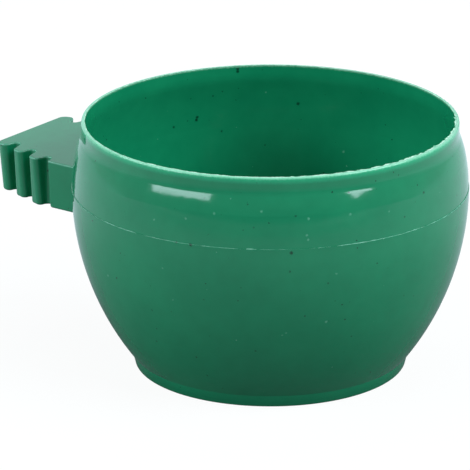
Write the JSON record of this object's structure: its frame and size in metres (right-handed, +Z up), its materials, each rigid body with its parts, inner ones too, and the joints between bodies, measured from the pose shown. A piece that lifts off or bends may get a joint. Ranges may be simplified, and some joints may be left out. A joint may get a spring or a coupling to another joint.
{
  "type": "seed cup",
  "caption": "Bulged plastic seed cup with a collar rim, a foot ring and a ribbed wedge lug that pushes between upright cage bars to hold the cup.",
  "frame": {"origin": "centre of the foot ring's underside, on the bowl's axis", "axes": "+Z up along the bowl's axis, +Y out along the lug, +X to the right when looking out along the lug"},
  "size_m": [0.0692, 0.0885, 0.0442],
  "materials": {
    "green_polypropylene": "moulded semi-gloss with small dark specks"
  },
  "bodies": {
    "root": {"lower_bowl": "green_polypropylene", "upper_bowl": "green_polypropylene", "cage_lug": "green_polypropylene"}
  },
  "joints": []
}
